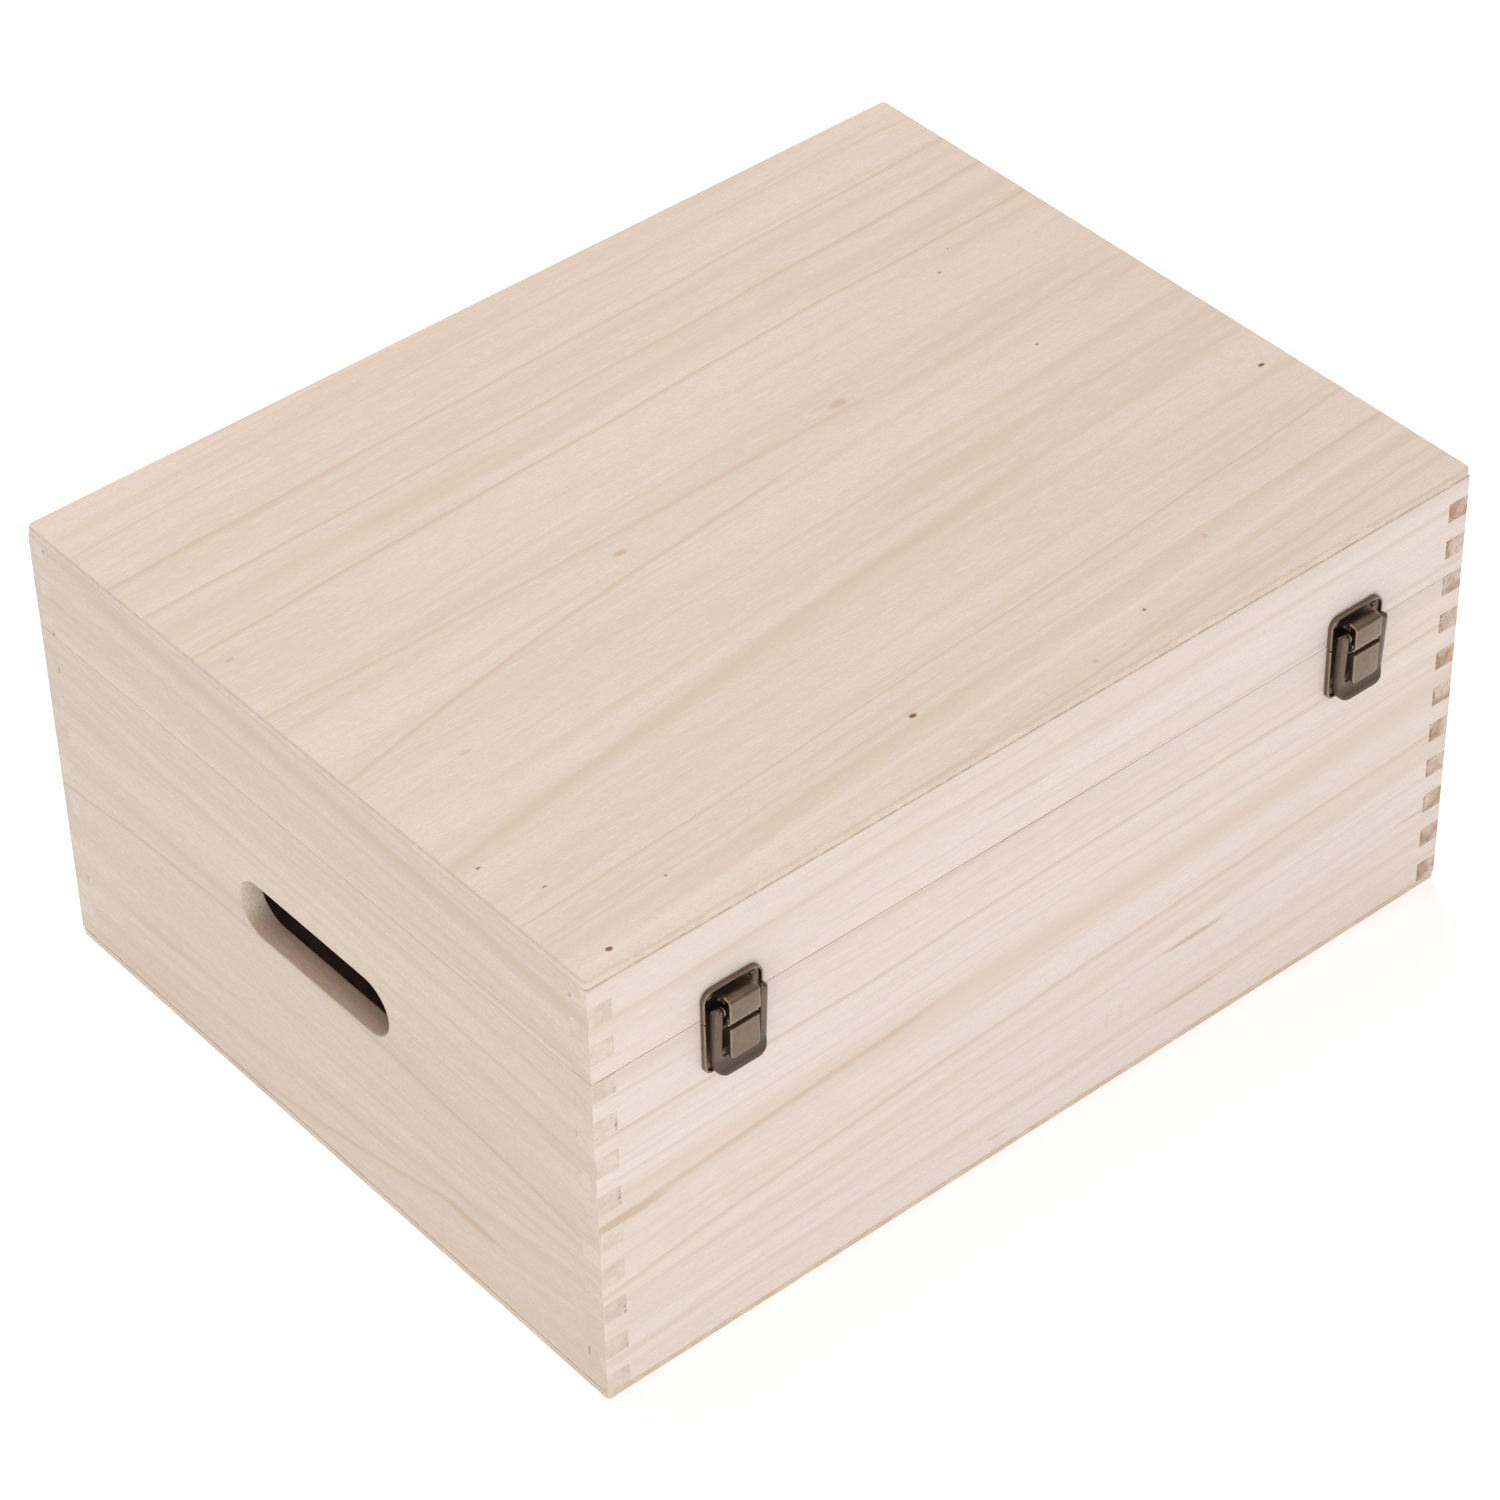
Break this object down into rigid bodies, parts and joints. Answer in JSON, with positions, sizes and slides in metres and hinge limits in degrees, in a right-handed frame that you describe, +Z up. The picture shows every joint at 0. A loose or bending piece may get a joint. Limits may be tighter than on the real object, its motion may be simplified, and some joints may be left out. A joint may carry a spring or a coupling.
{
  "type": "wooden toy box",
  "caption": "Lidded wooden toy box with finger-jointed corners, a hand hole in each end, brass toggle latches in front and hinges behind.",
  "frame": {"origin": "middle of the underside, on the surface the box stands on", "axes": "+X along the long side to the right as seen from the front, +Y from the front with the latches to the back with the hinges, +Z up"},
  "size_m": [0.4, 0.3258, 0.194],
  "materials": {
    "pale_wood": "bare sanded pale wood",
    "sheet_wood": "bare sanded sheet",
    "antique_brass": "antiqued, bright on worn edges",
    "dark_brass": "dark antiqued"
  },
  "bodies": {
    "base": {"base_bottom_panel": "sheet_wood", "base_front_board": "pale_wood", "base_back_board": "pale_wood", "base_left_board": "pale_wood", "base_right_board": "pale_wood", "latch_left_base_plate": "antique_brass", "latch_left_pivot_rivet_1": "dark_brass", "latch_left_pivot_rivet_2": "dark_brass", "latch_left_base_nail_1": "dark_brass", "latch_left_base_nail_2": "dark_brass", "hinge_left_base_leaf": "antique_brass", "hinge_left_pin": "dark_brass", "hinge_left_base_screw_1": "dark_brass", "hinge_left_base_screw_2": "dark_brass", "latch_right_base_plate": "antique_brass", "latch_right_pivot_rivet_1": "dark_brass", "latch_right_pivot_rivet_2": "dark_brass", "latch_right_base_nail_1": "dark_brass", "latch_right_base_nail_2": "dark_brass", "hinge_right_base_leaf": "antique_brass", "hinge_right_pin": "dark_brass", "hinge_right_base_screw_1": "dark_brass", "hinge_right_base_screw_2": "dark_brass"},
    "lid": {"lid_top_panel": "sheet_wood", "lid_front_board": "pale_wood", "lid_back_board": "pale_wood", "lid_left_board": "pale_wood", "lid_right_board": "pale_wood", "latch_left_strike_plate": "antique_brass", "latch_left_strike_nail_1": "dark_brass", "latch_left_strike_nail_2": "dark_brass", "hinge_left_lid_leaf": "antique_brass", "hinge_left_lid_screw_1": "dark_brass", "hinge_left_lid_screw_2": "dark_brass", "latch_right_strike_plate": "antique_brass", "latch_right_strike_nail_1": "dark_brass", "latch_right_strike_nail_2": "dark_brass", "hinge_right_lid_leaf": "antique_brass", "hinge_right_lid_screw_1": "dark_brass", "hinge_right_lid_screw_2": "dark_brass"},
    "lever_left": {"latch_left_lever": "antique_brass", "latch_left_claw_pin": "dark_brass"},
    "claw_left": {"latch_left_claw": "antique_brass"},
    "lever_right": {"latch_right_lever": "antique_brass", "latch_right_claw_pin": "dark_brass"},
    "claw_right": {"latch_right_claw": "antique_brass"}
  },
  "joints": [
    {"name": "lid_hinge", "type": "hinge", "parent": "base", "child": "lid", "pos_m": [0, 0.1583, 0.1488], "axis": [-1, 0, 0], "range_deg": [0, 100]},
    {"name": "lever_left_swing", "type": "hinge", "parent": "base", "child": "lever_left", "pos_m": [-0.1422, -0.1609, 0.1534], "axis": [-1, 0, 0], "range_deg": [0, 78]},
    {"name": "claw_left_swing", "type": "hinge", "parent": "lever_left", "child": "claw_left", "pos_m": [-0.1422, -0.1617, 0.1475], "axis": [-1, 0, 0], "range_deg": [-75, 0]},
    {"name": "lever_right_swing", "type": "hinge", "parent": "base", "child": "lever_right", "pos_m": [0.1442, -0.1609, 0.1534], "axis": [-1, 0, 0], "range_deg": [0, 78]},
    {"name": "claw_right_swing", "type": "hinge", "parent": "lever_right", "child": "claw_right", "pos_m": [0.1442, -0.1617, 0.1475], "axis": [-1, 0, 0], "range_deg": [-75, 0]}
  ],
  "couplings": [
    {"joint": "claw_left_swing", "follows": "lever_left_swing", "ratio": -0.95},
    {"joint": "claw_right_swing", "follows": "lever_right_swing", "ratio": -0.95}
  ]
}
